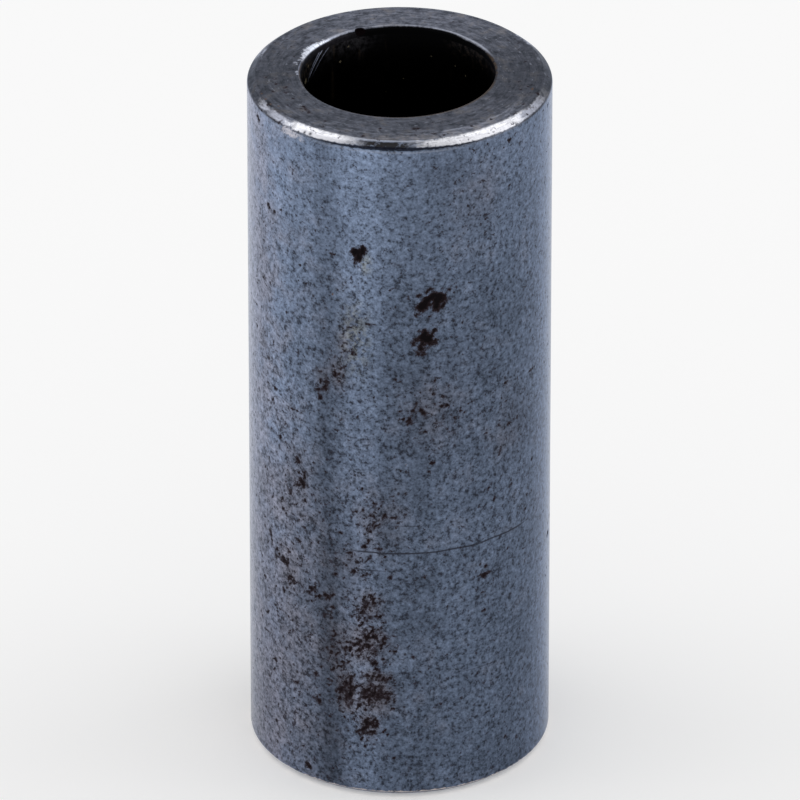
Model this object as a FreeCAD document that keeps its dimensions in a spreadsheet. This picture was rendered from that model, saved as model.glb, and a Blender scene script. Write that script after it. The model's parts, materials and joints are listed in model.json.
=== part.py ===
import FreeCAD, Part
import math
import os
import Sketcher
from FreeCAD import Vector

# Spacer sleeve: a length of thick-walled steel tube, parted off and faced at both ends. Each outer corner has a
# turned chamfer that runs into the wall over a softened shoulder. The bore is a little off the wall's centre, as it
# is in drawn tube, and a deburring cone has taken the sharp edge off its two mouths. The upper rim is bruised where
# the sleeve was knocked.
# Millimetres. +Z runs up the sleeve, and the origin is the centre of the wall's circle on the lower end face.

doc = FreeCAD.newDocument("SpacerSleeve")

# The driving dimensions: alias, value in millimetres (or degrees for an angle), what it is
dimensions = [
    ("outerDiameter", 22.0, "outside diameter of the wall"),
    ("boreDiameter", 14.0, "diameter of the through bore"),
    ("sleeveLength", 54.0, "length over both end faces"),
    ("upperChamferWidth", 0.60, "upper chamfer, across the end face to the wall's line"),
    ("upperChamferAngle", 39.0, "slope of the upper chamfer below the end face"),
    ("lowerChamferWidth", 0.64, "lower chamfer, across the end face to the wall's line"),
    ("lowerChamferAngle", 38.0, "slope of the lower chamfer above the end face"),
    ("shoulderRadius", 0.35, "round where a chamfer meets the wall"),
    ("boreOffsetX", -0.10, "bore's centre from the wall's centre"),
    ("boreOffsetY", 0.25, "bore's centre from the wall's centre"),
    ("deburrWidth", 0.14, "mean width of the cone cut at the bore's mouths"),
    ("deburrLean", 0.12, "upper cone's centre from the bore's centre"),
    ("deburrLeanAngle", 150.0, "direction in which the upper cone leans"),
    ("bruiseBallRadius", 1.6, "radius of the round that each rim bruise is pressed to"),
    ("mouthNickRadius", 0.45, "radius of the nick in the bore's upper edge"),
    ("mouthNickAngle", 113.0, "where the nick lies round the bore"),
]

sheet = doc.addObject("Spreadsheet::Sheet", "Dimensions")
for row, (alias, value, meaning) in enumerate(dimensions, start=1):
    sheet.set(f"A{row}", alias)
    sheet.set(f"B{row}", str(value))
    sheet.setAlias(f"B{row}", alias)
    sheet.set(f"C{row}", meaning)
doc.recompute()


def dim(alias):
    """Value of a driving dimension, for the sketch's first shape and for checking the result."""
    return float(sheet.get(alias))


body = doc.addObject("PartDesign::Body", "SleeveBody")
body.Label = "spacer_sleeve"


def originPlane(role):
    """The body's own plane of that role, such as XY_Plane."""
    return next(feature for feature in body.Origin.OriginFeatures if feature.Role == role)


def drive(sketch, name, expression, kind, *where):
    """A named sketch dimension bound to the sheet; where ends with its first value."""
    index = sketch.addConstraint(Sketcher.Constraint(kind, *where))
    sketch.renameConstraint(index, name)
    sketch.setExpression(f"Constraints.{name}", expression)


# Blank: the solid bar as the tool leaves it, one half-section turned about the sleeve's axis ------------------
wallRadius = dim("outerDiameter") / 2
sleeveLength = dim("sleeveLength")
shoulderRadius = dim("shoulderRadius")
lowerSlope = math.radians(dim("lowerChamferAngle"))
upperSlope = math.radians(dim("upperChamferAngle"))


def shoulderTangents(width, slope):
    """Heights above the end face of a shoulder's centre, and the point where its chamfer ends."""
    cornerHeight = width * math.tan(slope)
    tangentLength = shoulderRadius * math.tan((math.pi / 2 - slope) / 2)
    chamferEnd = Vector(
        wallRadius - tangentLength * math.cos(slope), cornerHeight - tangentLength * math.sin(slope), 0
    )
    return cornerHeight + tangentLength, chamferEnd


def arc(centreHeight, startAngle, endAngle):
    circle = Part.Circle(Vector(wallRadius - shoulderRadius, centreHeight, 0), Vector(0, 0, 1), shoulderRadius)
    return Part.ArcOfCircle(circle, startAngle, endAngle)


lowerCentre, lowerChamferEnd = shoulderTangents(dim("lowerChamferWidth"), lowerSlope)
upperCentre, upperChamferEnd = shoulderTangents(dim("upperChamferWidth"), upperSlope)
upperCentre = sleeveLength - upperCentre
upperChamferEnd.y = sleeveLength - upperChamferEnd.y
lowerRim = Vector(wallRadius - dim("lowerChamferWidth"), 0, 0)
upperRim = Vector(wallRadius - dim("upperChamferWidth"), sleeveLength, 0)

section = body.newObject("Sketcher::SketchObject", "BlankSection")
section.AttachmentSupport = [(originPlane("XZ_Plane"), "")]
section.MapMode = "FlatFace"
outline = [
    Part.LineSegment(Vector(0, 0, 0), lowerRim),
    Part.LineSegment(lowerRim, lowerChamferEnd),
    arc(lowerCentre, lowerSlope - math.pi / 2, 0),
    Part.LineSegment(Vector(wallRadius, lowerCentre, 0), Vector(wallRadius, upperCentre, 0)),
    arc(upperCentre, 0, math.pi / 2 - upperSlope),
    Part.LineSegment(upperChamferEnd, upperRim),
    Part.LineSegment(upperRim, Vector(0, sleeveLength, 0)),
    Part.LineSegment(Vector(0, sleeveLength, 0), Vector(0, 0, 0)),
]
lowerFace, lowerChamfer, lowerShoulder, wall, upperShoulder, upperChamfer, upperFace, axisLine = range(8)
start, end = 1, 2
sketchOrigin = (-1, 1)
section.addGeometry(outline, False)
for first, second in [(lowerFace, lowerChamfer), (upperChamfer, upperFace), (upperFace, axisLine),
                      (axisLine, lowerFace)]:
    section.addConstraint(Sketcher.Constraint("Coincident", first, end, second, start))
for first, second in [(lowerChamfer, lowerShoulder), (lowerShoulder, wall), (wall, upperShoulder),
                      (upperShoulder, upperChamfer)]:
    section.addConstraint(Sketcher.Constraint("Tangent", first, end, second, start))
section.addConstraint(Sketcher.Constraint("Coincident", lowerFace, start, *sketchOrigin))
section.addConstraint(Sketcher.Constraint("Horizontal", lowerFace))
section.addConstraint(Sketcher.Constraint("Horizontal", upperFace))
section.addConstraint(Sketcher.Constraint("Vertical", wall))
section.addConstraint(Sketcher.Constraint("Vertical", axisLine))
drive(section, "wallRadius", "Dimensions.outerDiameter / 2",
      "DistanceX", *sketchOrigin, wall, start, wallRadius)
drive(section, "overallLength", "Dimensions.sleeveLength",
      "DistanceY", *sketchOrigin, upperFace, start, sleeveLength)
drive(section, "lowerFaceRadius", "Dimensions.outerDiameter / 2 - Dimensions.lowerChamferWidth",
      "DistanceX", *sketchOrigin, lowerChamfer, start, lowerRim.x)
drive(section, "upperFaceRadius", "Dimensions.outerDiameter / 2 - Dimensions.upperChamferWidth",
      "DistanceX", *sketchOrigin, upperFace, start, upperRim.x)
drive(section, "lowerSlope", "Dimensions.lowerChamferAngle * 1 deg",
      "Angle", lowerChamfer, lowerSlope)
drive(section, "upperSlope", "180 deg - Dimensions.upperChamferAngle * 1 deg",
      "Angle", upperChamfer, math.pi - upperSlope)
drive(section, "lowerShoulderRadius", "Dimensions.shoulderRadius",
      "Radius", lowerShoulder, shoulderRadius)
drive(section, "upperShoulderRadius", "Dimensions.shoulderRadius",
      "Radius", upperShoulder, shoulderRadius)

blank = body.newObject("PartDesign::Revolution", "TurnedBlank")
blank.Profile = section
blank.ReferenceAxis = (section, ["V_Axis"])
blank.Angle = 360
doc.recompute()

# Bruises: knocks that flattened the upper rim, each a shallow dish pressed to the round of a ball. Direction round
# the axis in degrees from +X, how far below the end face, and how deep it bites.
rimBruises = [
    ("BruiseBroad", 223.0, 0.24, 0.13),
    ("BruiseSide", 208.0, 0.28, 0.11),
    ("BruiseSmall", 321.0, 0.20, 0.10),
]
for name, direction, drop, bite in rimBruises:
    angle = math.radians(direction)
    outward = math.pi / 2 - upperSlope
    rimRadius = upperRim.x + drop / math.tan(upperSlope)
    reach = dim("bruiseBallRadius") - bite
    ballRadial = rimRadius + reach * math.cos(outward)
    ballHeight = sleeveLength - drop + reach * math.sin(outward)
    ball = body.newObject("PartDesign::SubtractiveSphere", name)
    ball.AttachmentSupport = [(originPlane("XY_Plane"), "")]
    ball.MapMode = "FlatFace"
    ball.AttachmentOffset = FreeCAD.Placement(
        Vector(ballRadial * math.cos(angle), ballRadial * math.sin(angle), ballHeight), FreeCAD.Rotation()
    )
    ball.setExpression("Radius", "Dimensions.bruiseBallRadius")
    doc.recompute()

# Bore: straight through, with its own centre ------------------------------------------------------------------
boreRadius = dim("boreDiameter") / 2
boreCentre = Vector(dim("boreOffsetX"), dim("boreOffsetY"), 0)
boreSketch = body.newObject("Sketcher::SketchObject", "BoreCircle")
boreSketch.AttachmentSupport = [(originPlane("XY_Plane"), "")]
boreSketch.MapMode = "FlatFace"
boreSketch.addGeometry(Part.Circle(boreCentre, Vector(0, 0, 1), boreRadius), False)
circleCentre = (0, 3)
drive(boreSketch, "boreRadius", "Dimensions.boreDiameter / 2", "Radius", 0, boreRadius)
drive(boreSketch, "offsetX", "Dimensions.boreOffsetX",
      "DistanceX", *sketchOrigin, *circleCentre, boreCentre.x)
drive(boreSketch, "offsetY", "Dimensions.boreOffsetY",
      "DistanceY", *sketchOrigin, *circleCentre, boreCentre.y)

barVolume = body.Shape.Volume
bore = body.newObject("PartDesign::Pocket", "Bore")
bore.Profile = boreSketch
bore.Type = "ThroughAll"
bore.Reversed = True
doc.recompute()

# Deburred mouths: a 90 degree cone in each end of the bore. The upper one leans off centre, so its cut is a broad
# crescent on one side and dies away on the other.
coneHeight = 1.0


def deburrCone(name, offsetX, offsetY, offsetZ, lowRadius, highRadius):
    """A cone cut across one mouth of the bore, its sizes bound to the sheet."""
    cone = body.newObject("PartDesign::SubtractiveCone", name)
    cone.AttachmentSupport = [(originPlane("XY_Plane"), "")]
    cone.MapMode = "FlatFace"
    cone.setExpression("AttachmentOffset.Base.x", offsetX)
    cone.setExpression("AttachmentOffset.Base.y", offsetY)
    cone.setExpression("AttachmentOffset.Base.z", offsetZ)
    cone.setExpression("Radius1", lowRadius)
    cone.setExpression("Radius2", highRadius)
    cone.Height = coneHeight
    doc.recompute()


mouthRadius = "Dimensions.boreDiameter / 2 + Dimensions.deburrWidth"
deburrCone(
    "UpperMouth",
    "Dimensions.boreOffsetX + Dimensions.deburrLean * cos(Dimensions.deburrLeanAngle * 1 deg)",
    "Dimensions.boreOffsetY + Dimensions.deburrLean * sin(Dimensions.deburrLeanAngle * 1 deg)",
    f"Dimensions.sleeveLength - {coneHeight}",
    f"{mouthRadius} - {coneHeight}",
    mouthRadius,
)
deburrCone(
    "LowerMouth",
    "Dimensions.boreOffsetX",
    "Dimensions.boreOffsetY",
    "0",
    mouthRadius,
    f"{mouthRadius} - {coneHeight}",
)

# The nick where the deburring tool caught the bore's upper edge
nick = body.newObject("PartDesign::SubtractiveSphere", "MouthNick")
nick.AttachmentSupport = [(originPlane("XY_Plane"), "")]
nick.MapMode = "FlatFace"
nick.setExpression("Radius", "Dimensions.mouthNickRadius")
nick.setExpression(
    "AttachmentOffset.Base.x",
    "Dimensions.boreOffsetX + Dimensions.boreDiameter / 2 * cos(Dimensions.mouthNickAngle * 1 deg)",
)
nick.setExpression(
    "AttachmentOffset.Base.y",
    "Dimensions.boreOffsetY + Dimensions.boreDiameter / 2 * sin(Dimensions.mouthNickAngle * 1 deg)",
)
nick.setExpression("AttachmentOffset.Base.z", "Dimensions.sleeveLength")
doc.recompute()

# Checks before anything is written ----------------------------------------------------------------------------
for item in doc.Objects:
    if "Invalid" in item.State or "Error" in item.State:
        raise RuntimeError(f"{item.Name} failed: {item.State}")
shape = body.Shape
if shape.isNull() or not shape.isValid() or len(shape.Solids) != 1:
    raise RuntimeError("the sleeve is not one valid solid")
boreVolume = math.pi * boreRadius ** 2 * sleeveLength
if abs(barVolume - boreVolume - bore.Shape.Volume) > 0.5:
    raise RuntimeError("the bore does not run through the sleeve")
print(f"volume {shape.Volume:.1f} mm3, of which mouths and nick took {bore.Shape.Volume - shape.Volume:.2f}")
print("box", shape.BoundBox)

os.makedirs("parts", exist_ok=True)
shape.exportStep("parts/spacer_sleeve.step")
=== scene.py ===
import json
import math
import bpy
import numpy as np
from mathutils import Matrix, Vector


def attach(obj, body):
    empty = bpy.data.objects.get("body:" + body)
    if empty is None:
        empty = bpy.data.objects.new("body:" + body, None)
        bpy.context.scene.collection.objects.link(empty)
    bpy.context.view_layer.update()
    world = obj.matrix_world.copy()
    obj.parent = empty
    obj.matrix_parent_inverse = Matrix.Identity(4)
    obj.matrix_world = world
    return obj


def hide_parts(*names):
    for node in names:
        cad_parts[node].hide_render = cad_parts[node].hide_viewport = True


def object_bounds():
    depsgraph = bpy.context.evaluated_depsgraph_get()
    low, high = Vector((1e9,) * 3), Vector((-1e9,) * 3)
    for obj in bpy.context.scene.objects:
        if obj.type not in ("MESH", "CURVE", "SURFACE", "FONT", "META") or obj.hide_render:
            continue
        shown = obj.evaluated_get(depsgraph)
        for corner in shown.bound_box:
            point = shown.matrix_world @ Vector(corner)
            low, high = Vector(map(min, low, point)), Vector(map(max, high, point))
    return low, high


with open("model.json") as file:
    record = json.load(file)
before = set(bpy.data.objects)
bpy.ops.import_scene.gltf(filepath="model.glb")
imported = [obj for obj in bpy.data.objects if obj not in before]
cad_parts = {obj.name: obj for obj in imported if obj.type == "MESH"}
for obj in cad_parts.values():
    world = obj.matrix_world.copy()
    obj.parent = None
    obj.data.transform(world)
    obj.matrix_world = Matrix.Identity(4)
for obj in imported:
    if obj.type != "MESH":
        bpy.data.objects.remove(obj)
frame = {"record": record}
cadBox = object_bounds()
mm = 0.001
mounts = {mount["name"]: mount for mount in frame["record"]["mounts"]}
wallRadius = mounts["outer_wall"]["dims"]["r_mm"]
boreRadius = mounts["bore"]["dims"]["r_mm"]
boreCentre = [place / mm for place in mounts["bore"]["pos_m"][:2]]
sleeveLength = (cadBox[1].z - cadBox[0].z) / mm
print("frame loaded: sleeve", 2 * wallRadius, "x", 2 * boreRadius, "x", round(sleeveLength, 2), "mm")


class Wire:
    # One output in a node tree. Arithmetic on it adds Math nodes; node() adds any other kind.
    def __init__(self, tree, socket=None):
        self.tree = tree
        self.socket = socket

    def node(self, kind, settings=None, inputs=None, result=0):
        made = self.tree.nodes.new(kind)
        for name, value in (settings or {}).items():
            setattr(made, name, value)
        if isinstance(inputs, (list, tuple)):
            inputs = dict(enumerate(inputs))
        for key, value in (inputs or {}).items():
            if isinstance(value, Wire):
                self.tree.links.new(value.socket, made.inputs[key])
            else:
                made.inputs[key].default_value = value
        return Wire(self.tree, made.outputs[result]) if made.outputs else made

    def twin(self, result):    # another output of the same node
        return Wire(self.tree, self.socket.node.outputs[result])

    def math(self, operation, *others):
        return self.node("ShaderNodeMath", {"operation": operation}, (self, *others))

    def __add__(self, other):
        return self.math("ADD", other)

    def __sub__(self, other):
        return self.math("SUBTRACT", other)

    def __rsub__(self, other):
        return self.node("ShaderNodeMath", {"operation": "SUBTRACT"}, (other, self))

    def __mul__(self, other):
        return self.math("MULTIPLY", other)

    __radd__ = __add__
    __rmul__ = __mul__

    def __truediv__(self, other):
        return self.math("DIVIDE", other)

    def __gt__(self, other):
        return self.math("GREATER_THAN", other)

    def __abs__(self):
        return self.math("ABSOLUTE")

    def either(self, other):    # the larger of the two
        return self.math("MAXIMUM", other)

    def rise(self, low, high):    # 0 below low, 1 above high, smooth between
        smooth = {"interpolation_type": "SMOOTHSTEP"}
        return self.node("ShaderNodeMapRange", smooth, {0: self, 1: low, 2: high})

    def fall(self, low, high):
        return 1 - self.rise(low, high)

    def near(self, centre, reach):    # 1 at centre, smoothly 0 at reach either side
        return abs(self - centre).fall(0.0, reach)

    def within(self, first, last, soft):    # 1 from first to last, with soft ends
        half = (last - first) / 2
        return abs(self - (first + last) / 2).fall(half - soft, half + soft)

    def clamp(self):
        return self.node("ShaderNodeClamp", None, [self])

    def level(self, under, over):    # a plain number: under where this is 0, over where it is 1
        return self.node("ShaderNodeMix", {"data_type": "FLOAT"}, {0: self, 2: under, 3: over}, 0)

    def blend(self, under, over):    # the same for colours
        return self.node("ShaderNodeMix", {"data_type": "RGBA"}, {0: self, 6: under, 7: over}, 2)

    def vector(self, operation, *values, result=0):
        return self.node("ShaderNodeVectorMath", {"operation": operation}, (self, *values), result)

    def scaled(self, factor):    # a vector or colour made longer or brighter by a plain number
        return self.node("ShaderNodeVectorMath", {"operation": "SCALE"}, {0: self, 3: factor})


def tint(red, green, blue):
    # a colour as a screen shows it, 0 to 255, as the linear colour a shader takes
    return tuple(((part / 255 + 0.055) / 1.055) ** 2.4 for part in (red, green, blue)) + (1.0,)


turning = {
    "upperChamfer": 0.60,      # across the face, to the wall's line
    "upperSlope": 39.0,        # degrees below the face
    "lowerChamfer": 0.64,
    "lowerSlope": 38.0,
    "shoulder": 0.35,          # round between chamfer and wall
    "deburr": 0.14,            # mean width of the cone at the bore's mouths
    "lean": 0.12,              # how far the upper cone sits off the bore
    "leanDirection": 150.0,    # degrees from +X
    "waviness": 0.012,         # of the drawn wall
    "stepsRound": 300,
    "gather": 0.35,            # how much closer the columns stand at the front than on average
    "wallSteps": 240,
}


def sectionLoop():
    # the turned section as a closed loop of (radius, height), in millimetres: out along the lower face, up
    # the wall, in along the upper face and down the bore
    points = []
    shoulder = turning["shoulder"]

    def run(start, end, spans):
        for step in range(spans):
            share = step / spans
            points.append([a + (b - a) * share for a, b in zip(start, end)])

    def bend(centreHeight, first, last, spans):
        spots = []
        for step in range(spans + 1):
            angle = math.radians(first + (last - first) * step / spans)
            spots.append([wallRadius + shoulder * (math.cos(angle) - 1),
                          centreHeight + shoulder * math.sin(angle)])
        return spots

    def shoulderHeight(width, slope):
        return width * math.tan(math.radians(slope)) + shoulder * math.tan(math.radians(90 - slope) / 2)

    lowHeight = shoulderHeight(turning["lowerChamfer"], turning["lowerSlope"])
    highHeight = sleeveLength - shoulderHeight(turning["upperChamfer"], turning["upperSlope"])
    mouth = boreRadius + turning["deburr"]
    lowerRim = [wallRadius - turning["lowerChamfer"], 0.0]
    upperRim = [wallRadius - turning["upperChamfer"], sleeveLength]
    lowerBend = bend(lowHeight, turning["lowerSlope"] - 90, 0, 5)
    upperBend = bend(highHeight, 0, 90 - turning["upperSlope"], 5)
    run([mouth, 0.0], lowerRim, 8)
    run(lowerRim, lowerBend[0], 3)
    points.extend(lowerBend[:-1])
    run(lowerBend[-1], upperBend[0], turning["wallSteps"])
    points.extend(upperBend[:-1])
    run(upperBend[-1], upperRim, 6)
    run(upperRim, [mouth, sleeveLength], 18)
    run([mouth, sleeveLength], [boreRadius, sleeveLength - turning["deburr"]], 4)
    run([boreRadius, sleeveLength - turning["deburr"]], [boreRadius, turning["deburr"]], 14)
    run([boreRadius, turning["deburr"]], [mouth, 0.0], 1)
    points.append([mouth, 0.0])
    return points


def latheTree():
    # turns the section's points about Z, carries the bore to its own centre and leans the upper mouth's cone
    tree = bpy.data.node_groups.new("sleeveLathe", "GeometryNodeTree")
    inputs = {
        "Section": "Geometry", "Steps Round": "Int", "Bore Offset": "Vector", "Cone Lean": "Vector",
        "Mouth Radius": "Float", "Cone Width": "Float", "Gather": "Float", "Face Radius": "Float",
        "Upper Height": "Float", "Wall Waviness": "Float", "Seed": "Float", "Finish": "Material",
    }
    for name, kind in inputs.items():
        tree.interface.new_socket(name, in_out="INPUT", socket_type="NodeSocket" + kind)
    tree.interface.new_socket("Skin", in_out="OUTPUT", socket_type="NodeSocketGeometry")
    given = tree.nodes.new("NodeGroupInput")
    takes = {output.name: Wire(tree, output) for output in given.outputs if output.name}
    start = Wire(tree)

    rows = start.node("GeometryNodeAttributeDomainSize", {"component": "MESH"}, [takes["Section"]],
                      "Point Count")
    columns = takes["Steps Round"] + 1
    grid = start.node("GeometryNodeMeshGrid", None, {"Vertices X": rows, "Vertices Y": columns})
    index = start.node("GeometryNodeInputIndex")
    row = (index / columns + 1e-5).math("FLOOR")
    turn = (index - row * columns) / takes["Steps Round"] * (2 * math.pi)
    turn = turn - takes["Gather"] * turn.math("COSINE")
    cosine = turn.math("COSINE")
    sine = turn.math("SINE")
    place = start.node("GeometryNodeInputPosition")
    section = start.node("GeometryNodeSampleIndex", {"data_type": "FLOAT_VECTOR"},
                         {"Geometry": takes["Section"], "Value": place, "Index": row})
    radius = start.node("ShaderNodeSeparateXYZ", None, [section])
    height = radius.twin("Z")
    lathed = start.node("ShaderNodeCombineXYZ", None, [radius * cosine, radius * sine, height])

    boreShare = ((takes["Face Radius"] - radius) / (takes["Face Radius"] - takes["Mouth Radius"])).clamp()
    coneShare = ((takes["Mouth Radius"] - radius) / takes["Cone Width"]).clamp()
    upper = height > takes["Upper Height"]
    leanX = start.node("ShaderNodeSeparateXYZ", None, [takes["Cone Lean"]])
    leaning = leanX * cosine + leanX.twin("Y") * sine
    aside = takes["Cone Lean"].scaled(boreShare * (1 - coneShare) * upper)
    dropped = start.node("ShaderNodeCombineXYZ", None, [0.0, 0.0, 0 - leaning * coneShare * upper])
    spot = lathed.vector("ADD", takes["Bore Offset"].scaled(boreShare))
    spot = spot.vector("ADD", aside).vector("ADD", dropped)

    # a drawn wall is never quite true: slow hollows of about a hundredth of a millimetre
    wave = start.node("ShaderNodeTexNoise", {"noise_dimensions": "4D"},
                      {"Vector": lathed, "W": takes["Seed"], "Scale": 160.0, "Detail": 2.0})
    swell = (wave - 1.2) * takes["Wall Waviness"] * (radius > takes["Face Radius"])
    spot = spot.vector("ADD", start.node("ShaderNodeCombineXYZ", None, [cosine * swell, sine * swell, 0.0]))

    turned = start.node("GeometryNodeSetPosition", None, {"Geometry": grid, "Position": spot})
    joined = start.node("GeometryNodeMergeByDistance", None, {"Geometry": turned, "Distance": 1e-7})
    smooth = start.node("GeometryNodeSetShadeSmooth", None, {"Geometry": joined, "Shade Smooth": True})
    plain = start.node("GeometryNodeRealizeInstances", None, {"Geometry": smooth})
    finished = start.node("GeometryNodeSetMaterial", None, {"Geometry": plain, "Material": takes["Finish"]})
    tree.links.new(finished.socket, tree.nodes.new("NodeGroupOutput").inputs[0])
    return tree


def latheSkin(finish):
    section = bpy.data.meshes.new("sleeveSection")
    section.from_pydata([(radius * mm, 0, height * mm) for radius, height in sectionLoop()], [], [])
    holder = bpy.data.objects.new("sleeve_skin", section)
    bpy.context.scene.collection.objects.link(holder)
    tree = latheTree()
    modifier = holder.modifiers.new("lathe", "NODES")
    modifier.node_group = tree
    leanAngle = math.radians(turning["leanDirection"])
    lean = turning["lean"] * mm
    values = {
        "Steps Round": turning["stepsRound"],
        "Gather": turning["gather"],
        "Bore Offset": (boreCentre[0] * mm, boreCentre[1] * mm, 0.0),
        "Cone Lean": (lean * math.cos(leanAngle), lean * math.sin(leanAngle), 0.0),
        "Mouth Radius": (boreRadius + turning["deburr"]) * mm,
        "Cone Width": turning["deburr"] * mm,
        "Face Radius": (wallRadius - turning["lowerChamfer"]) * mm,
        "Upper Height": (sleeveLength - 0.5) * mm,
        "Wall Waviness": turning["waviness"] * mm,
        "Seed": 3.0,
        "Finish": finish,
    }
    for item in tree.interface.items_tree:
        if item.in_out == "INPUT" and item.name in values:
            modifier[item.identifier] = values[item.name]
    graph = bpy.context.evaluated_depsgraph_get()
    holder.data = bpy.data.meshes.new_from_object(holder.evaluated_get(graph))
    holder.modifiers.clear()
    return holder


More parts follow.
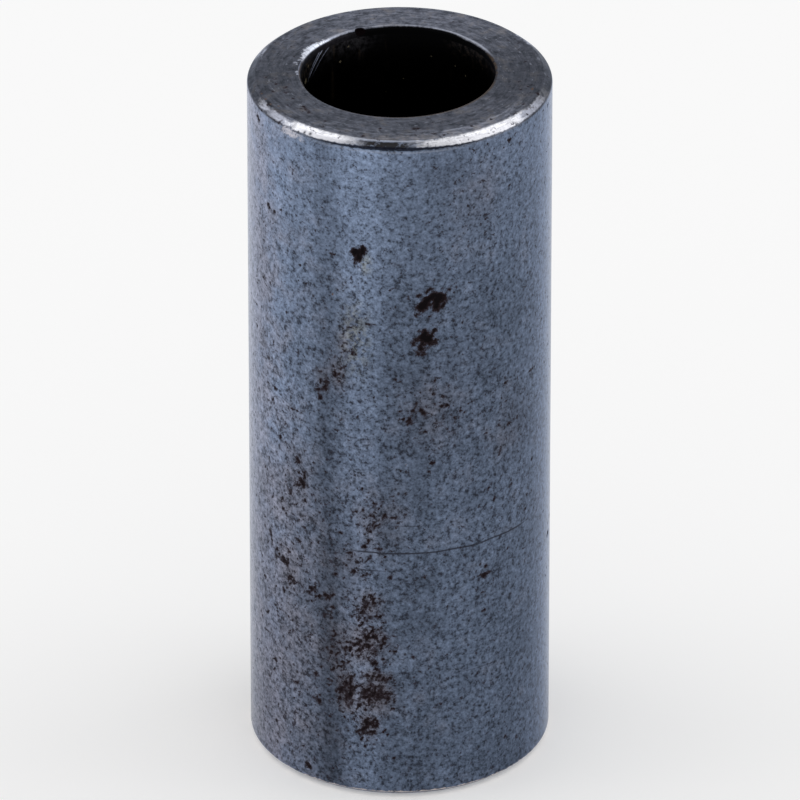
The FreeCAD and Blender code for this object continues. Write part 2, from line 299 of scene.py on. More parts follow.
# What has happened to the sleeve. Places on the wall are degrees round from the front, positive to the
# right, and millimetres up; places on the upper face are degrees round and millimetres from the middle.
wear = {
    "ballRadius": 1.6,
    # degrees from +X, drop, bite
    "rimBruises": [(223, 0.24, 0.13), (208, 0.28, 0.11), (321, 0.2, 0.1)],
    "mouthNick": (113, 0.4),    # degrees from +X, radius
    "pitDepth": 0.07,
    "smallPit": 0.2,    # a pit of less half-width is moved to the mesh's nearest points
    # pits: a half-width, and the chain of places that the pit runs through
    "wallPits": [
        (0.42, [(-16.9, 45.05)]), (0.34, [(-13.9, 45.4), (-14.3, 45.1)]),
        (0.34, [(-15.6, 44.8), (-15.5, 44.6)]), (0.07, [(-18.2, 44.4), (-15.8, 43.8)]),
        (0.07, [(-26.4, 44.55), (-25.1, 44.5)]), (0.42, [(7.9, 40.75), (9.5, 40.95)]),
        (0.34, [(9.9, 41.25), (13.2, 41.65)]), (0.46, [(14.2, 41.25), (14.9, 41.45)]),
        (0.36, [(14, 40.85), (13.8, 40.6)]), (0.24, [(16.8, 41.55), (16.9, 41.3)]), (0.2, [(6.2, 40.15)]),
        (0.2, [(18.9, 42)]), (0.42, [(9, 38.3), (10.8, 38.05)]), (0.32, [(9.3, 38.7), (10, 38.55)]),
        (0.21, [(7.6, 38.2), (5.6, 38.1)]), (0.2, [(5, 37.75)]), (0.21, [(12, 38.45), (13.4, 38.85)]),
        (0.24, [(12.2, 37.85), (13.8, 37.9)]), (0.26, [(8.3, 37.7), (7.8, 37.3)]), (0.2, [(6.8, 36.95)]),
        (0.21, [(8.9, 36.95)]), (0.05, [(-4.1, 42.15), (-1.2, 42.4)]), (0.08, [(-1.5, 40.9)]),
        (0.08, [(-13, 39.2), (-9.4, 39.2)]), (0.1, [(-19.8, 38.8), (-18.2, 38.8)]),
        (0.2, [(3.8, 31.7), (3.6, 31.3)]), (0.15, [(16.2, 32.5), (18.2, 32.4)]),
        (0.13, [(23, 31.8), (25.4, 31.7)]), (0.05, [(14.6, 31.2), (17, 30.7), (19.5, 30.3), (22, 30.15)]),
        (0.09, [(-1.5, 35), (0.1, 34.7)]), (0.17, [(11.8, 27.85), (12.9, 27.95)]),
        (0.07, [(-13, 24.65), (-11, 24.3), (-9.3, 24.1), (-7.5, 24.1), (-6.1, 24.9)]),
        (0.04, [(-5, 25.4), (-3.4, 25.2), (0, 25.45)]), (0.14, [(-2.9, 23.6), (-1.3, 23.6)]),
        (0.05, [(-10.2, 22.75), (-7.6, 22.8)]), (0.04, [(-16, 22.8), (-13.6, 22.7)]),
        (0.14, [(-13, 22.35), (-11.3, 22.2)]), (0.11, [(-11.8, 21.6), (-12, 21.2)]),
        (0.06, [(-15, 19.95), (-13.2, 19.6), (-11.5, 19.9)]), (0.05, [(-46, 30.75), (-40, 30.7)]),
        (0.21, [(-46.2, 23.6)]), (0.22, [(-42.4, 26.8), (-41.6, 26.6)]),
        (0.07, [(-52, 22.3), (-50.5, 22.8)]), (0.09, [(-43.5, 26.3), (-42, 26.7)]),
        (0.06, [(-54, 18.9), (-47.5, 18.9)]), (0.27, [(-49.6, 17.75), (-48.4, 17.6)]),
        (0.2, [(-52.2, 17.7)]), (0.12, [(-44.6, 8), (-42.2, 7.95)]), (0.12, [(-34.6, 7.2), (-32.6, 7.6)]),
        (0.13, [(-56.8, 8.75), (-54.6, 8.7)]), (0.06, [(-53, 13.4), (-50, 13.4)]),
        (0.06, [(-47, 12.15), (-44, 12.2)]), (0.07, [(-63, 10.7), (-59.5, 10.8)]),
        (0.13, [(-56.4, 3.8), (-54.8, 3.75)]), (0.24, [(-38.4, 1.45), (-36.8, 1.35)]),
        (0.23, [(34.7, 18.4)]), (0.26, [(34, 17.6)]), (0.18, [(33.6, 14.7)]),
        (0.09, [(58.4, 32.8), (62.6, 32.8)]), (0.06, [(-64, 40), (-61, 40.1)]),
        (0.06, [(-70, 39.5), (-67.2, 39.4)]), (0.06, [(-73.6, 37.1), (-70.4, 37.2)]),
        (0.2, [(-68.4, 52.75), (-66.8, 52.5)]), (0.14, [(75.2, 53)]), (0.2, [(45.3, 52.65)]),
        (0.26, [(-13, 6.3), (-12.4, 6)]), (0.2, [(-9.6, 5.4)]), (0.21, [(-8.6, 10.1), (-7.6, 10.2)]),
        (0.24, [(-40.6, 25.2), (-39.4, 24.8)]), (0.17, [(-38.6, 25.4), (-39.2, 25.9)]),
        (0.17, [(-46, 16.6), (-44.6, 16.4)]), (0.22, [(-36.2, 16.5), (-35.2, 16.4)]),
        (0.24, [(-29.6, 16.3), (-28.4, 16.1)]), (0.08, [(-10.4, 16.8), (-8.6, 16.8)]),
        (0.1, [(-7, 13.8), (-5.2, 13.7)]), (0.08, [(-21, 8), (-20, 7.7)]),
        (0.09, [(-7, 6.95), (-5.2, 6.9)]),
    ],
    # single pits by their half-width
    "wallDots": {
        0.25: [
            (-31.5, 32.5), (-52, 27.9), (-33.7, 9.4), (-13.5, 20.9), (-17.8, 18.75), (-40.6, 25.1),
            (-21, 9.3), (-20.4, 8.1), (-7, 8.7), (-13.6, 8.8), (-32.6, 7.2),
        ],
        0.2: [
            (-40, 25), (-35.4, 16.5), (-25, 18.2), (-5.5, 23.65), (-29, 16.2), (-10.6, 23.55), (8.1, 32.3),
            (-38.7, 23.6), (-46.4, 16.6), (-44.4, 16.4), (-50.8, 22.8), (-59, 19.4), (-56.6, 30.6),
            (-55.8, 9), (-43, 8), (-50.4, 22), (-41.4, 20), (-22.4, 8.8), (-19, 9.7), (-20, 7.4), (-11, 8),
            (-4.4, 8.4), (-15.2, 7.6), (-9.4, 9.2), (-5, 9.8), (-12.6, 13.2), (-6, 13), (-9.4, 12.2),
            (-13.2, 16), (-10, 16.2), (-27, 11.6), (-18.8, 20.2), (-7.4, 20.8), (-3.8, 18.5), (-17, 12.7),
            (-10.3, 6.4),
        ],
        0.16: [
            (-13, 18.7), (-25, 18.15), (-24.8, 34.6), (-22, 35), (-36, 15.3), (-25, 18.3), (-39.5, 24.6),
            (-19, 9.3), (-10, 14), (-15.5, 14.8), (-16.5, 12.7), (-14, 25.6), (13.7, 34.8), (21, 31.45),
            (12.4, 33.5), (-7.5, 22.8), (36, 24.9), (45, 3.4), (46, 29.5), (-50.4, 46.5), (-32.2, 6.95),
        ],
        0.12: [
            (-21.5, 18.1), (-3.8, 18.45), (-23.5, 34.2), (-33, 35), (-22.5, 31.2), (-56.5, 30.4),
            (-49, 21.7), (-38.5, 23.5), (-36, 20.1), (-41.5, 20), (-59, 19.35), (-47.5, 16.3),
            (-42.5, 18.4), (-21, 19.2), (-20, 20.2), (-13.5, 16.6), (-12, 16.2), (-13.5, 15.75),
            (-17, 15.5), (-7, 15.1), (-6, 13.2), (-13, 13.2), (-23.5, 12.5), (-11.5, 12.4), (-26.5, 11.7),
            (-15, 11.9), (-21, 9.5), (-28, 8.8), (-18, 6.8), (-15, 4.65), (-10, 4.5), (-21, 5.5),
            (-4.5, 5.2), (11.3, 27.3), (2.5, 23.7), (-7.7, 20.8), (6.2, 33), (26.5, 32.3), (51, 29.7),
            (31, 23.6), (52.5, 22), (57.5, 22.7), (56, 21.5), (45.5, 19), (-47.5, 38.5), (-52.5, 9.25),
            (-40, 2.85), (-41, 42.8), (45.5, 49),
        ],
        0.08: [
            (-60, 25.4), (-38.5, 24.2), (-47.5, 19.9), (-8.5, 15.7), (-9, 13.4), (-13, 7.2), (-22, 8.8),
            (-10, 3.8), (-19, 3.9), (-25.5, 8.3), (-12, 25.5), (-8, 25.5), (-13.5, 31.75), (-11.2, 31.7),
            (-16, 31.6), (-9.5, 33.45), (13.2, 32.8), (7.8, 33.9), (-16, 21.35), (38.5, 24), (33, 14.8),
            (50, 48.1), (55, 45.7), (71, 46.9), (43.5, 33.4), (47, 6.6), (62.5, 6), (65.5, 16.3),
            (-60, 44.05), (-51, 39), (-56.3, 34.5), (-64.5, 45.9), (-66.5, 49.5), (-34.5, 12.7), (-45, 6.7),
            (-46.5, 3.6), (-38, 10.4), (-34, 10.4), (44.8, 52.7), (42.8, 52.3), (49, 52.8), (38.2, 52.4),
            (-15.2, 42), (21.9, 42.4), (24, 39), (-19.5, 39.6), (3.2, 41.75), (3.4, 41.4), (16.7, 48.9),
        ],
    },
    # crowds of small pits: degrees, millimetres up, half-sizes, how many
    "crowds": [
        (-8.5, 10.1, 5, 0.3, 18), (-10, 8.5, 7, 0.9, 80), (-20.5, 8.6, 3.6, 1.3, 40),
        (-11, 12.7, 8, 0.9, 34), (-12, 15.8, 6, 1.2, 34), (12, 41.1, 7, 0.8, 22), (9.8, 38, 5, 0.8, 16),
        (33.5, 18, 3.4, 0.5, 9), (-12, 13, 9, 1.1, 30), (-24, 12, 4, 1.2, 12), (-14, 5.6, 6, 1, 14),
        (-33, 16.2, 4, 0.6, 9), (-11, 5.8, 6, 1.3, 24), (-24, 9.5, 6, 2.5, 14), (-9, 11.2, 5, 0.8, 12),
        (-16, 19.6, 8, 1.4, 14), (-30, 33.8, 2.5, 0.7, 10), (-23, 35.2, 3, 1.4, 12), (-20, 37.4, 3, 1.2, 8),
        (-40, 25, 2.5, 0.6, 9), (-45, 24, 2.5, 0.6, 7), (-50, 17.8, 3, 0.4, 8), (-46, 16.4, 3, 0.4, 7),
        (-44, 20, 14, 5, 18), (-30, 13, 12, 4, 12), (-55, 12, 12, 6, 16), (-62, 34, 9, 9, 14),
        (6, 32.5, 10, 1.8, 14), (-10, 23.5, 6, 1.6, 14), (48, 26, 14, 6, 12), (-58, 46, 10, 4, 10),
        (10, 16, 20, 10, 10),
    ],
    # the same on the upper face
    "facePits": [
        (0.14, [(-79.6, 9.1)]), (0.18, [(-75.3, 8.5)]), (0.18, [(-69.8, 8.6)]), (0.14, [(-72.8, 9.6)]),
        (0.13, [(-87.2, 9.8)]), (0.14, [(-84.1, 9)]), (0.14, [(-58.5, 9.3)]), (0.14, [(-56.1, 10.5)]),
        (0.12, [(-53.2, 8.6), (-46.9, 8.9)]), (0.15, [(-35.8, 9)]), (0.16, [(71.8, 10.3)]),
        (0.16, [(81.4, 8.6)]), (0.15, [(73.9, 9.1)]), (0.13, [(77.4, 9.5)]), (0.15, [(62.1, 10.1)]),
        (0.14, [(42.9, 9.5)]), (0.14, [(32.6, 9.6)]), (0.15, [(6.9, 8.6), (9, 8.6)]), (0.14, [(-9.5, 8.6)]),
        (0.15, [(-14.9, 10)]), (0.14, [(18.2, 10)]), (0.14, [(14.5, 9.6)]),
    ],
    # flecks of live rust, on the upper face and on the wall
    "embers": [
        (0.12, [(74.8, 9.9), (76.4, 9.9)]), (0.09, [(28.6, 8.7)]), (0.08, [(36, 8.7)]),
        (0.08, [(17.9, 8.5)]), (0.13, [(-72.5, 10.35)]), (0.11, [(-67.2, 10.35)]), (0.09, [(-63.2, 10.3)]),
        (0.1, [(-60, 10)]), (0.07, [(-50, 10.2)]),
    ],
    "wallEmbers": [(0.13, [(-26.3, 41.25)]), (0.07, [(2, 27.9)])],
    # softer patches where dirt and brown specks crowd: degrees, millimetres up, half-sizes, strength
    "grime": [
        (-12, 15.8, 6, 1.4, 0.85), (-12, 12.8, 8.5, 1.5, 0.92), (-9.8, 8.6, 7.2, 1.4, 1.2),
        (-20.8, 8.6, 4.4, 1.7, 1.05), (-9, 10.1, 6, 0.6, 0.95), (-12.4, 6, 4, 1.1, 0.85),
        (-42, 15, 28, 14, 0.36), (-44, 24, 14, 5, 0.44), (-9, 23, 10, 3, 0.42), (-46, 17.5, 12, 2.5, 0.5),
        (-20, 19.5, 9, 2.5, 0.45), (12, 32, 14, 3, 0.34), (-19, 39, 4, 1.5, 0.4), (-21, 37, 4, 1.5, 0.5),
        (-24, 35, 4, 1.5, 0.62), (-30, 33.8, 3, 1, 0.6), (-60, 20, 10, 8, 0.35), (30, 49, 10, 3, 0.3),
        (48, 29.5, 10, 3, 0.3), (-64, 30, 8, 8, 0.3), (-58, 5, 12, 5, 0.38), (-64, 42, 7, 8, 0.3),
        (-25, 12, 7, 3, 0.55),
    ],
    # flecks in the bore: degrees round it, millimetres down, radius
    "boreFlecks": [
        (-107, 1.9, 0.28), (-149, 1.1, 0.1), (-143, 2.1, 0.05), (136, 3, 0.09), (144, 2.5, 0.07),
        (-173, 5.2, 0.09), (177, 4.2, 0.07), (-112, 0.9, 0.08), (120, 1.6, 0.07), (160, 2.2, 0.06),
    ],
    # chips in its edge: degrees round it, millimetres from its middle, radius
    "mouthChips": [
        (-104, 7.42, 0.16), (-101, 7.52, 0.2), (-99, 7.4, 0.14), (-90, 7.32, 0.16), (-87, 7.26, 0.13),
    ],
    # scratches down its left wall, painted bright as glints: millimetres down where the line would cross the
    # front, first and last degree, strength
    "boreScratches": [(12.36, -131, -113, 1), (12.1, -129, -115, 0.75), (12.9, -134, -119, 0.45)],
    "seed": 7,
    "hiddenPits": 110,     # on the side that faces away
    "hiddenGrime": 12,
}


def boreSpot(direction, out, drop):
    # a place by degrees round the bore from the front, millimetres from its middle and millimetres down
    angle = math.radians(direction)
    return boreCentre[0] + math.sin(angle) * out, boreCentre[1] - math.cos(angle) * out, sleeveLength - drop


def hiddenMarks(random):
    # pits and grime for the side that the named marks leave bare
    grime = []
    for patch in range(wear["hiddenGrime"]):
        grime.append((180 + random.uniform(-105, 105), random.uniform(3, 51), random.uniform(6, 16),
                      random.uniform(2, 8), random.uniform(0.3, 0.9)))
    pits = []
    for mark in range(wear["hiddenPits"]):
        angle, height = 180 + random.uniform(-105, 105), random.uniform(1.2, 52.5)
        if mark % 3:
            patch = grime[mark % len(grime)]
            angle = patch[0] + random.normal() * patch[2] * 0.6
            height = min(max(patch[1] + random.normal() * patch[3] * 0.6, 1.2), 52.5)
        chain = [(angle, height)]
        for link in range(int(random.integers(0, 3))):
            chain.append((chain[-1][0] + random.uniform(-2.2, 2.2), chain[-1][1] + random.uniform(-0.4, 0.4)))
        pits.append((0.12 + 0.2 * random.random() ** 3, chain))
    return pits, grime


def crowdMarks(random):
    # small pits strewn in the named crowds, most of them faint
    pits = []
    for angle, height, halfAngle, halfHeight, count in wear["crowds"]:
        for mark in range(count):
            across, up = random.normal(0, 0.6, 2)
            place = (angle + across * halfAngle, height + up * halfHeight)
            reach = (place[0] + random.uniform(-1.2, 1.2), place[1] + random.uniform(-0.1, 0.1))
            pits.append((0.06 + 0.13 * random.random() ** 2, [place, reach][:1 + mark % 2]))
    return pits


def markField(flat, marks, flatten, girth=None):
    # how far inside the marks each point lies, in millimetres
    field = np.full(len(flat), -1.0)

    def away(place):
        gap = flat - place
        if girth:
            gap[:, 0] = (gap[:, 0] + girth / 2) % girth - girth / 2
        return gap

    for halfWidth, chain in marks:
        places = [flatten(*place) for place in chain]
        if halfWidth < wear["smallPit"]:
            places = [flat[np.argmin((away(place) ** 2).sum(1))] for place in places]
        for first, last in zip(places, places[1:] or places):
            along = last - first
            if girth:
                along[0] = (along[0] + girth / 2) % girth - girth / 2
            gap = away(first)
            share = np.clip(gap @ along / max(along @ along, 1e-9), 0, 1)
            field = np.maximum(field, halfWidth - np.linalg.norm(gap - share[:, None] * along, axis=1))
    return field


def wearDown(skin):
    # presses the bruises and the nick, sinks the pits, and leaves the fields that the finish reads
    mesh = skin.data
    spots = np.empty(len(mesh.vertices) * 3)
    mesh.vertices.foreach_get("co", spots)
    spots = spots.reshape(-1, 3) / mm

    def press(centre, radius):
        away = spots - centre
        distance = np.linalg.norm(away, axis=1)
        inside = distance < radius
        spots[inside] = centre + away[inside] * (radius / distance[inside])[:, None]

    slope = math.radians(turning["upperSlope"])
    for direction, drop, bite in wear["rimBruises"]:
        angle = math.radians(direction)
        reach = wear["ballRadius"] - bite
        radial = wallRadius - turning["upperChamfer"] + drop / math.tan(slope) + reach * math.sin(slope)
        press(np.array([radial * math.cos(angle), radial * math.sin(angle),
                        sleeveLength - drop + reach * math.cos(slope)]), wear["ballRadius"])
    nickDirection, nickRadius = wear["mouthNick"]
    press(np.array(boreSpot(nickDirection + 90, boreRadius, 0)), nickRadius)

    radius = np.hypot(spots[:, 0], spots[:, 1])
    onWall = radius > wallRadius - 0.3
    onFace = (spots[:, 2] > sleeveLength - 0.1) & (radius < wallRadius - turning["upperChamfer"] + 0.1)
    girth = 2 * math.pi * wallRadius
    unrolled = np.column_stack([np.arctan2(spots[:, 0], -spots[:, 1]) * wallRadius, spots[:, 2]])
    random = np.random.default_rng(wear["seed"])
    hiddenPits, hiddenGrime = hiddenMarks(random)
    dots = [(halfWidth, [place]) for halfWidth, places in wear["wallDots"].items() for place in places]
    wallPits = wear["wallPits"] + dots + crowdMarks(random) + hiddenPits

    def onUnrolled(angle, height):
        return np.array([math.radians(angle) * wallRadius, height])

    def onPlan(angle, out):
        return np.array([math.sin(math.radians(angle)) * out, -math.cos(math.radians(angle)) * out])

    pit = np.full(len(spots), -1.0)
    pit[onWall] = markField(unrolled[onWall], wallPits, onUnrolled, girth)
    pit[onFace] = markField(spots[onFace, :2], wear["facePits"], onPlan)
    ember = np.full(len(spots), -1.0)
    ember[onWall] = markField(unrolled[onWall], wear["wallEmbers"], onUnrolled, girth)
    ember[onFace] = markField(spots[onFace, :2], wear["embers"], onPlan)
    grime = np.zeros(len(spots))
    for angle, height, halfAngle, halfHeight, strength in wear["grime"] + hiddenGrime:
        across = unrolled[:, 0] - math.radians(angle) * wallRadius
        across = ((across + girth / 2) % girth - girth / 2) / (math.radians(halfAngle) * wallRadius)
        up = (spots[:, 2] - height) / halfHeight
        grime = np.maximum(grime, strength * np.exp(-(across * across + up * up) * 0.9))
    grime[~onWall] = 0.0

    sunk = np.clip((pit + 0.05) / 0.3, 0, 1)
    sunk = sunk * sunk * (3 - 2 * sunk) * wear["pitDepth"]
    spots[onWall, :2] *= (1 - sunk / radius)[onWall, None]
    spots[onFace, 2] -= sunk[onFace]
    mesh.vertices.foreach_set("co", (spots * mm).ravel())
    for name, field in (("pit", pit), ("ember", ember), ("grime", grime)):
        mesh.attributes.new(name, "FLOAT", "POINT").data.foreach_set("value", field.astype(np.float32))
    mesh.update()


colours = {
    "blueSkin": tint(87, 98, 117),
    "greySkin": tint(92, 95, 107),
    "brownSkin": tint(86, 84, 92),
    "oliveSkin": tint(112, 113, 104),
    "brownHaze": tint(106, 99, 95),
    "pore": tint(40, 40, 48),
    "speck": tint(41, 32, 38),
    "rust": tint(44, 33, 36),
    "rustCore": tint(14, 8, 10),
    "ember": tint(96, 68, 44),
    "bare": tint(219, 220, 226),
    "bareNick": tint(120, 119, 126),
    "bareDull": tint(112, 120, 138),
    "bareSoft": tint(170, 174, 188),
    "stain": tint(36, 34, 32),
    "rimLine": tint(18, 20, 28),
    "smear": tint(208, 206, 214),
    "face": tint(67, 69, 77),
    "faceBrown": tint(68, 66, 67),
    "faceLight": tint(134, 138, 150),
    "faceDark": tint(34, 32, 35),
    "bore": tint(5, 5, 6),
    "boreSide": tint(58, 57, 61),
    "boreBrown": tint(62, 50, 36),
    "boreRust": tint(70, 58, 46),
    "glint": tint(172, 180, 204),
    "glare": tint(228, 234, 247),
    "boreLip": tint(34, 33, 37),
    "boreFleck": tint(92, 84, 62),
    # a painted reflection of the floor on the lower chamfer's edge
    "foot": tint(232, 218, 211),
    "edgeTint": (0.84, 0.89, 1.0, 1.0),    # what the skin mirrors when seen along it
}
# lengthwise bands, partly in the drawn skin and partly painted reflections of the studio: degrees round,
# reach, how much lighter or darker
bandsAndReflections = [(-29, 9, -0.36), (-14, 11, 0.28), (-48, 20, 0.17), (8, 8, -0.06), (20, 9, 0.05),
             (115, 18, 0.2), (150, 14, -0.18), (-110, 16, -0.12), (-150, 18, 0.2)]
# fine lines scored round the wall: millimetres up, first and last degree, half-width, strength
scores = [
    (20.52, -18, 56, 0.06, 0.85), (19, -17, -7, 0.05, 0.8), (22.76, -1, 9, 0.04, 0.6),
    (10.1, 25, 39, 0.04, 0.45), (41.72, 0, 6, 0.03, 0.5), (41.42, 1, 5, 0.03, 0.5),
    (33.1, 112, 172, 0.05, 0.8), (12.4, -160, -120, 0.05, 0.8),
]


def fieldsOn(tree):
    # where a point of the sleeve lies: round, out, up, and the same about the bore
    start = Wire(tree)
    coordinates = start.node("ShaderNodeTexCoord", None, None, "Object")
    place = start.node("ShaderNodeMapping", None, {"Vector": coordinates, "Scale": (1 / mm, 1 / mm, 1 / mm)})
    x = start.node("ShaderNodeSeparateXYZ", None, [place])
    y, height = x.twin("Y"), x.twin("Z")
    fromBore = place.vector("SUBTRACT", (boreCentre[0], boreCentre[1], 0.0))
    boreX = start.node("ShaderNodeSeparateXYZ", None, [fromBore])
    boreY = boreX.twin("Y")

    def polar(across, ahead):
        distance = (across * across + ahead * ahead).math("SQRT")
        return distance, across.math("ARCTAN2", 0 - ahead) * (180 / math.pi)

    radius, angle = polar(x, y)
    boreOut, boreAngle = polar(boreX, boreY)

    def noise(scale, detail=2.0, rough=0.5, seed=0.0, where=place):
        # the seed moves the pattern to another part of the same endless noise
        moved = where.vector("ADD", (seed * 7.3, seed * 3.1, seed * 5.7))
        return start.node("ShaderNodeTexNoise", {"noise_dimensions": "3D"},
                          {"Vector": moved, "Scale": scale, "Detail": detail, "Roughness": rough})

    def ringed(around, outward):
        # a place that runs slowly round the axis and quickly outward, for marks that follow the turning
        return start.node("ShaderNodeCombineXYZ", None, [x / radius * around, y / radius * around, outward])

    def field(name):
        return start.node("ShaderNodeAttribute", {"attribute_name": name}, None, "Fac")

    return {
        "start": start, "place": place, "height": height, "drop": sleeveLength - height,
        "radius": radius, "angle": angle, "boreOut": boreOut, "boreAngle": boreAngle,
        "noise": noise, "ringed": ringed, "grain": noise(2.7, 3.0, 0.68), "cloud": noise(0.16, 2.0, 0.6, 4.0),
        "ragged": noise(2.8, 2.0, 0.62, 5.0) - 0.5,
        "pit": field("pit"), "ember": field("ember"), "grime": field("grime"),
    }


def lay(mask, under, over):
    # one finish over another where the mask says
    return {
        part: mask.blend(under[part], over[part]) if part == "colour" else mask.level(under[part], over[part])
        for part in under
    }


def coat(colour, rough, metal=1.0):
    # a finish from a named colour or from one that varies
    if isinstance(colour, str):
        colour = colours[colour]
    return {"colour": colour, "rough": rough, "metal": metal}


def awayFrom(at, spot):
    return at["place"].vector("DISTANCE", spot, result="Value")


def wallFinish(at):
    # the blue-grey oxide skin: fine winding pores over slow clouds, lengthwise bands that are partly painted
    # reflections, painted light and shade, specks where dirt has gathered
    noise, angle, height, grime = at["noise"], at["angle"], at["height"], at["grime"]
    grain, cloud = at["grain"], at["cloud"]
    fine = noise(5.6, 1.0, 0.5, 11.0)
    worm = abs(noise(2.0, 2.0, 0.6, 12.0) - 0.5).fall(0.0, 0.045)
    patch = noise(0.5, 3.0, 0.6, 5.0)
    blotch = noise(1.15, 2.0, 0.6, 15.0)
    leftSide = angle.within(-90, -24, 14)
    lengthwise = at["start"].node("ShaderNodeMapping", None, {"Vector": at["place"], "Scale": (1, 1, 0.04)})
    streak = noise(1.3, 2.0, 0.5, 3.0, lengthwise)
    bite = height.fall(38, 54) * 0.9 + 2.15 + leftSide * (height.fall(24, 42) * 0.5 - 0.3)
    grit = (grain - 0.5) * bite + (fine - 0.5) * 1.0 - worm * 0.18 + (blotch - 0.5) * (leftSide * 0.8 + 0.3)
    slow = 0.91 + (cloud - 0.5) * 0.5 + (patch - 0.5) * 0.6 + (streak - 0.5) * 0.3
    # painted light and shade, partly the skin's own tone: lighter on the left and towards the top, a painted
    # sheen 80 degrees either side of the front, darker low down at -25 degrees
    slow = slow + angle.within(-110, -12, 22) * 0.32 + abs(angle).near(80, 20) * 0.25
    slow = slow + height.rise(36, 54) * (0.34 + angle.near(-18, 36) * 0.3 - angle.near(18, 18) * 0.2)
    slow = slow + angle.near(-54, 22) * height.fall(26, 38) * 0.14
    slow = slow + angle.within(-100, -52, 14) * (height.rise(14, 34) * 0.4 + 0.34)
    slow = slow - angle.near(-25, 10) * height.fall(14, 28) * 0.22
    # bands partly in the skin and partly painted reflections
    for direction, reach, change in bandsAndReflections:
        slow = slow + angle.near(direction, reach) * change
    warm = grime * 0.8 + (patch - 0.5) * 1.7 + angle.within(-155, -50, 30) * 0.55 + angle.near(-84, 22) * 0.5
    warm = (warm - angle.near(-6, 32) * height.rise(34, 50) * 0.25).rise(0.0, 0.9)
    skin = warm.blend(colours["blueSkin"], colours["greySkin"])
    browned = angle.within(-155, -39, 31) * height.fall(6, 30) * 0.35 + grime * 0.5
    skin = browned.blend(skin, colours["brownSkin"])
    haze = angle.near(-84, 26) * (0.3 + height.fall(2, 34) * 0.4) * patch.rise(0.30, 0.62).level(0.45, 1.0)
    skin = haze.blend(skin, colours["brownHaze"])
    olive = angle.near(-17, 9) * height.near(38.0, 4.6) + angle.near(-13, 4) * height.near(44.2, 1.4)
    skin = (olive * noise(2.2, 2.0, 0.6, 6.0).rise(0.40, 0.6) * 0.5).blend(skin, colours["oliveSkin"])
    lit = (1 + grit).either(0.3) * (slow - grime * 0.2)
    pored = (0 - grit).rise(0.16, 0.62) * 0.5
    wall = coat(pored.blend(skin.scaled(lit), colours["pore"]), 0.22, 1.0)

    # dark specks everywhere, more where grime lies
    specks = noise(2.4, 2.0, 0.6, 21.0) + grime * 0.09 + (cloud - 0.5) * 0.12
    wall = lay(specks.rise(0.64, 0.74) * 0.75, wall, coat("speck", 0.5))
    wander = (noise(0.35, 1.0, 0.5, 8.0) - 0.5) * 0.25
    for level, first, last, half, strength in scores:
        scored = abs(height + wander - level).fall(half * 0.4, half * 1.8)
        scored = scored * angle.within(first, last, 5) * strength
        wall = lay(scored * grain.rise(0.26, 0.44), wall, coat("pore", 0.5))
    return wall


def rustOver(at, base):
    # pits that have eaten in, soft at the edges and breaking up into specks round them
    noise, pit, grime = at["noise"], at["pit"], at["grime"]
    torn = noise(4.2, 2.0, 0.7, 41.0) - 0.5
    edge = pit + torn * pit.rise(0.0, 0.3).level(0.55, 0.3)
    blots = (noise(2.1, 3.0, 0.64, 31.0) + torn * 0.14 + grime * 0.17).rise(0.62, 0.75)
    rust = edge.rise(-0.09, 0.12).either(blots * 0.88)
    core = edge.rise(0.02, 0.26).either(blots * (torn + 0.5) * 0.8)
    shown = lay(rust, base, coat(core.blend(colours["rust"], colours["rustCore"]), 0.7, 0.9))
    emberHere = (at["ember"] + torn * 0.3).rise(-0.03, 0.12) * 0.75
    return lay(emberHere, shown, coat("ember", 0.8, 0.4))


